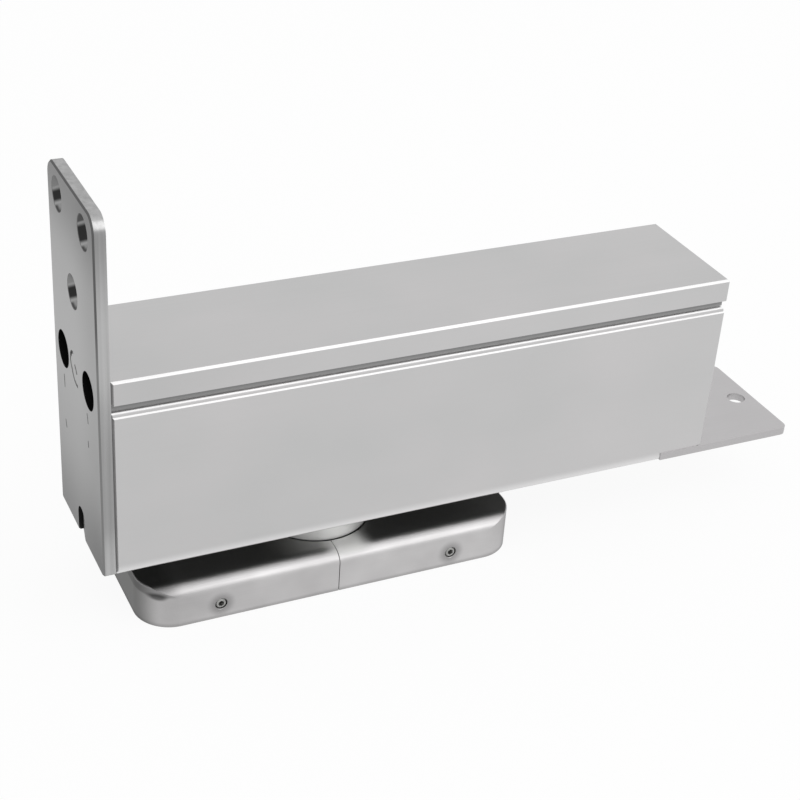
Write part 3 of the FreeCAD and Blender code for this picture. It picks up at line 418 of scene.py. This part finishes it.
# The end plate: stainless plate brushed along its length and screwed to the door's edge. It has
# countersunk screw holes, two holes for the screwdriver that sets the valves, and a fine bevel.
brushed = lined_metal("plate_brushed", dark=(0.36, 0.36, 0.36), light=(0.47, 0.47, 0.47),
                      patch=(700, 700, 12), roughness=(0.27, 0.34), lines=(3200, 3200, 40), relief=0.07)
dimmer_aslant(brushed, 0.66)
plate_tree = brushed.node_tree
plate_x, plate_y, plate_z = part_place(plate_tree)
plate_across = worked_out(plate_tree, "ABSOLUTE", plate_y)
plate_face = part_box("end_plate")[0][0]
bevel = 0.00045
margin = 0.00001

# Painted shade: the face is lightest at mid height. It grows darker towards its head and its foot, and to
# the right of one who faces it.
on_face = fade(plate_tree, plate_x, clear=plate_face + 3 * margin, full=plate_face + margin)
toned(brushed, on_face, tone=(0.55, 0.55, 0.55), roughness=0.31)
for clear, full, share in ((0.078, 0.100, 0.915), (0.094, 0.116, 0.55),
                           (0.070, 0.040, 0.86), (0.048, 0.014, 0.52)):
    shaded(brushed, both(plate_tree, on_face, fade(plate_tree, plate_z, clear, full)), share)
shade_to_right = fade(plate_tree, plate_y, clear=0.0, full=-0.018)
shaded(brushed, both(plate_tree, on_face, shade_to_right), share=0.86)
low_shade_on_face = both(plate_tree, on_face, fade(plate_tree, plate_z, clear=0.046, full=0.022))
low_shade_to_right = fade(plate_tree, plate_y, clear=0.004, full=-0.016)
shaded(brushed, both(plate_tree, low_shade_on_face, low_shade_to_right), share=0.80)

# Painted shade darkens the plate's sides at the head and waist; painted light brightens them between and at
# the foot.
off_face = fade(plate_tree, plate_x, clear=plate_face + bevel - 3 * margin, full=plate_face + bevel)
on_side = both(plate_tree, off_face, fade(plate_tree, plate_across, clear=0.0190, full=0.0194))
for clear, full, share in ((0.088, 0.114, 0.66), (0.066, 0.076, 1.10), (0.034, 0.026, 1.18)):
    shaded(brushed, both(plate_tree, on_side, fade(plate_tree, plate_z, clear, full)), share)
waist = 0.046
from_waist = worked_out(plate_tree, "ABSOLUTE", worked_out(plate_tree, "SUBTRACT", plate_z, waist))
waist_shade = fade(plate_tree, from_waist, clear=0.034, full=0.006)
shaded(brushed, both(plate_tree, on_side, waist_shade), share=0.79)

# Painted shade makes the bevel round the face darker than both, most of all towards the head.
past_face = fade(plate_tree, plate_x, clear=plate_face + margin, full=plate_face + 3 * margin)
before_side = fade(plate_tree, plate_x, clear=plate_face + bevel + 3 * margin, full=plate_face + bevel)
on_bevel = both(plate_tree, past_face, before_side)
head_shade = fade(plate_tree, plate_z, clear=0.076, full=0.092)
toned(brushed, on_bevel, tone=(0.22, 0.22, 0.22), roughness=0.4)
shaded(brushed, both(plate_tree, on_bevel, head_shade), share=0.55)

# Each turned countersink has a painted reflection: a black band aslant across its middle, dull grey on
# both sides of it, and painted shade on its lower rim. The band's width and the grey above it differ from
# hole to hole. The rise is measured square to the band.
mounts = {mount["name"]: mount for mount in frame["record"]["mounts"]}
pair_reach = mounts["plate_pair"]["dims"]["spacing_x_mm"] / 2000
pair_height = mounts["plate_pair"]["pos_m"][2]
single_height = mounts["plate_single"]["pos_m"][2]
countersink_radius = 0.0045
across_band = (0.565, 0.825)
band_height = 0.0004
for centre, half_band, head_tone in (((pair_reach, pair_height), 0.0016, 0.22),
                                     ((-pair_reach, pair_height), 0.0022, 0.09),
                                     ((0.0, single_height), 0.0017, 0.24)):
    away = from_axis(plate_tree, plate_y, plate_z, centre)
    in_hole = fade(plate_tree, away, clear=countersink_radius - 0.00005, full=countersink_radius - 0.0002)
    shares = [worked_out(plate_tree, "MULTIPLY", worked_out(plate_tree, "SUBTRACT", value, middle), slope)
              for value, middle, slope in zip((plate_y, plate_z), centre, across_band)]
    rise = worked_out(plate_tree, "SUBTRACT", worked_out(plate_tree, "ADD", *shares), band_height)
    below_band = fade(plate_tree, rise, clear=-half_band, full=-half_band - 0.0008)
    above_band = fade(plate_tree, rise, clear=half_band, full=half_band + 0.0006)
    by_rim = fade(plate_tree, away, clear=0.0036, full=0.0042)
    lowest = fade(plate_tree, rise, clear=-half_band - 0.0004, full=-half_band - 0.0012)
    shaded_lower_rim = both(plate_tree, by_rim, lowest)
    from_band = worked_out(plate_tree, "ABSOLUTE", rise)
    reflection_band = fade(plate_tree, from_band, clear=half_band + 0.0005, full=half_band - 0.0008)
    toned(brushed, in_hole, tone=(0.36, 0.36, 0.36), roughness=0.3)
    toned(brushed, both(plate_tree, in_hole, below_band), tone=(0.27, 0.27, 0.27), roughness=0.32)
    toned(brushed, both(plate_tree, in_hole, above_band), tone=[head_tone] * 3, roughness=0.4)
    toned(brushed, both(plate_tree, in_hole, shaded_lower_rim), tone=(0.07, 0.07, 0.07), roughness=0.45)
    toned(brushed, both(plate_tree, in_hole, reflection_band), tone=(0.03, 0.03, 0.03), roughness=0.4)

# Painted shade makes the two valve holes black inside.
for name in ("sweep_valve_access", "latch_valve_access"):
    away = from_axis(plate_tree, plate_y, plate_z, mounts[name]["pos_m"][1:])
    radius = mounts[name]["dims"]["r_mm"] / 1000
    in_hole = fade(plate_tree, away, clear=radius + 0.0001, full=radius + 0.00005)
    toned(brushed, in_hole, tone=(0.014, 0.014, 0.014), roughness=0.5)

# The relief at the plate's foot is milled aslant, and painted shade makes its deep side black.
relief_side = 0.0031
relief_top = 0.0273
in_width = fade(plate_tree, plate_across, clear=relief_side + 0.0003, full=relief_side + 0.0001)
in_height = fade(plate_tree, plate_z, clear=relief_top + 0.0003, full=relief_top + 0.0001)
below_face = fade(plate_tree, plate_x, clear=plate_face + margin, full=plate_face + 5 * margin)
in_relief = both(plate_tree, below_face, both(plate_tree, in_width, in_height))
deep_side_shade = fade(plate_tree, plate_y, clear=-0.0012, full=0.0029)
toned(brushed, both(plate_tree, in_relief, deep_side_shade), tone=(0.03, 0.03, 0.03), roughness=0.5)
finish("end_plate", brushed)

# The setting marks etched into the end plate's face: an arrow bent round the two valve holes and the
# short strokes that show which way a valve closes. Each line is a row of y and z places on the face.
broad, narrow = 0.0008, 0.0005
mark_depth = 0.00002
marks = {
    "arrow_arc": [(0.0032, 0.0718), (0.0043, 0.0706), (0.0045, 0.0690), (0.0040, 0.0678), (0.0033, 0.0670),
                  (0.0024, 0.0657), (0.0012, 0.0647), (-0.0002, 0.0643), (-0.0016, 0.0643)],
    "arrow_head": [(0.0018, 0.0722), (0.0032, 0.0718), (0.0037, 0.0704)],
    "tick": [(0.0007, 0.0694), (-0.0003, 0.0686), (-0.0012, 0.0676)],
    "stroke_far": [(0.0114, 0.0609), (0.0112, 0.0572)],
    "stroke_far_low": [(0.0119, 0.0473), (0.0111, 0.0451)],
    "stroke_near": [(-0.0094, 0.0613), (-0.0101, 0.0586)],
    "stroke_near_low": [(-0.0095, 0.0533), (-0.0096, 0.0515)],
}
mark_corners, mark_faces = [], []
for name, line in marks.items():
    mark_width = narrow if name.startswith("stroke") else broad
    line = [Vector((0, y, z)) for y, z in line]
    first_corner = len(mark_corners)
    for index, point in enumerate(line):
        along = (line[min(index + 1, len(line) - 1)] - line[max(index - 1, 0)]).normalized()
        side = Vector((0, -along.z, along.y)) * mark_width / 2
        for x in (plate_face - mark_depth, plate_face + mark_depth):
            for edge in (point + side, point - side):
                mark_corners.append((x, edge.y, edge.z))
    for index in range(len(line) - 1):
        here = first_corner + 4 * index
        mark_faces += [(here, here + 1, here + 5, here + 4), (here + 2, here + 6, here + 7, here + 3),
                       (here, here + 4, here + 6, here + 2), (here + 1, here + 3, here + 7, here + 5)]
    last = len(mark_corners) - 4
    mark_faces += [(first_corner, first_corner + 2, first_corner + 3, first_corner + 1),
                   (last, last + 1, last + 3, last + 2)]
marks_mesh = bpy.data.meshes.new("setting_marks")
marks_mesh.from_pydata(mark_corners, [], mark_faces)
setting_marks = bpy.data.objects.new("setting_marks", marks_mesh)
bpy.context.scene.collection.objects.link(setting_marks)
etched = lined_metal("etched_marks", dark=(0.06, 0.06, 0.06), light=(0.15, 0.15, 0.15), patch=(900, 900, 900),
                     roughness=(0.5, 0.65), lines=(2500, 2500, 2500), relief=0.3)
marks_mesh.materials.append(etched)
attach(setting_marks, "closer")

# The studio: a pale floor that shows white but keeps the part's shadow, white surroundings, and one
# large soft lamp over the front right. The floor lies just under the part, so that no faces coincide.
floor_half = 6.0
floor_drop = 0.0002
floor_corners = [(-floor_half, -floor_half, 0), (floor_half, -floor_half, 0), (floor_half, floor_half, 0),
                 (-floor_half, floor_half, 0)]
floor_mesh = bpy.data.meshes.new("studio_floor")
floor_mesh.from_pydata(floor_corners, [], [(0, 1, 2, 3)])
floor = bpy.data.objects.new("studio_floor", floor_mesh)
bpy.context.scene.collection.objects.link(floor)
floor.location.z = -floor_drop


def seen_directly(tree, camera_share, gloss_share):
    """How much of a backdrop's own white a ray sees that comes from the camera, a gloss or a glass."""
    path = tree.nodes.new("ShaderNodeLightPath")
    gloss = worked_out(tree, "MAXIMUM", path.outputs["Is Glossy Ray"], path.outputs["Is Transmission Ray"])
    return worked_out(tree, "MAXIMUM",
                      worked_out(tree, "MULTIPLY", path.outputs["Is Camera Ray"], camera_share),
                      worked_out(tree, "MULTIPLY", gloss, gloss_share))


def pale_floor(name, camera_share, gloss_share):
    """Matt white floor with a white of its own that keeps it pale to the eye."""
    material = bpy.data.materials.new(name)
    material.use_nodes = True
    tree = material.node_tree
    tree.nodes.clear()
    output = tree.nodes.new("ShaderNodeOutputMaterial")
    matt = tree.nodes.new("ShaderNodeBsdfDiffuse")
    white = tree.nodes.new("ShaderNodeEmission")
    blend = tree.nodes.new("ShaderNodeMixShader")
    drift = noise_over(tree, (3, 3, 3), detail=2)
    tree.links.new(tinted(tree, drift, (0.84, 0.84, 0.84), (0.86, 0.86, 0.86)), matt.inputs["Color"])
    white.inputs["Strength"].default_value = 1.0
    tree.links.new(seen_directly(tree, camera_share, gloss_share), blend.inputs["Fac"])
    tree.links.new(matt.outputs["BSDF"], blend.inputs[1])
    tree.links.new(white.outputs["Emission"], blend.inputs[2])
    tree.links.new(blend.outputs["Shader"], output.inputs["Surface"])
    return material


floor_mesh.materials.append(pale_floor("studio_floor", camera_share=0.92, gloss_share=0.8))

world = bpy.data.worlds.new("studio")
bpy.context.scene.world = world
world.use_nodes = True
sky = world.node_tree
sky.nodes.clear()
surround = sky.nodes.new("ShaderNodeBackground")
backdrop = sky.nodes.new("ShaderNodeBackground")
choice = sky.nodes.new("ShaderNodeMixShader")
world_output = sky.nodes.new("ShaderNodeOutputWorld")
for white, strength in ((surround, 0.9), (backdrop, 1.0)):
    white.inputs["Color"].default_value = (1, 1, 1, 1)
    white.inputs["Strength"].default_value = strength
sky.links.new(seen_directly(sky, camera_share=1.0, gloss_share=1.0), choice.inputs["Fac"])
sky.links.new(surround.outputs["Background"], choice.inputs[1])
sky.links.new(backdrop.outputs["Background"], choice.inputs[2])
sky.links.new(choice.outputs["Shader"], world_output.inputs["Surface"])

aim = Vector((0.02, 0, 0.04))
towards_lamp = Vector((0.39, -0.60, 0.70)).normalized()
lamp_distance = 1.15
lamp = bpy.data.lights.new("key_lamp", "AREA")
lamp.shape = "SQUARE"
lamp.size = 1.0
lamp.energy = 3.5
key_lamp = bpy.data.objects.new("key_lamp", lamp)
bpy.context.scene.collection.objects.link(key_lamp)
key_lamp.location = aim + towards_lamp * lamp_distance
key_lamp.rotation_euler = towards_lamp.to_track_quat("Z", "Y").to_euler()

# The camera stands where the photograph was taken from. Its place, turn and lens were worked out from
# the part's straight edges and holes.
camera_data = bpy.data.cameras.new("camera")
camera_data.lens = 76.584
camera_data.sensor_width = 36
camera_data.clip_start = 0.01
camera = bpy.data.objects.new("camera", camera_data)
bpy.context.scene.collection.objects.link(camera)
camera.location = (-0.15573, -0.35651, 0.28029)
camera.rotation_euler = [math.radians(turn) for turn in (59.151, -3.528, -24.707)]
bpy.context.scene.camera = camera
bpy.context.scene.view_settings.view_transform = "Standard"
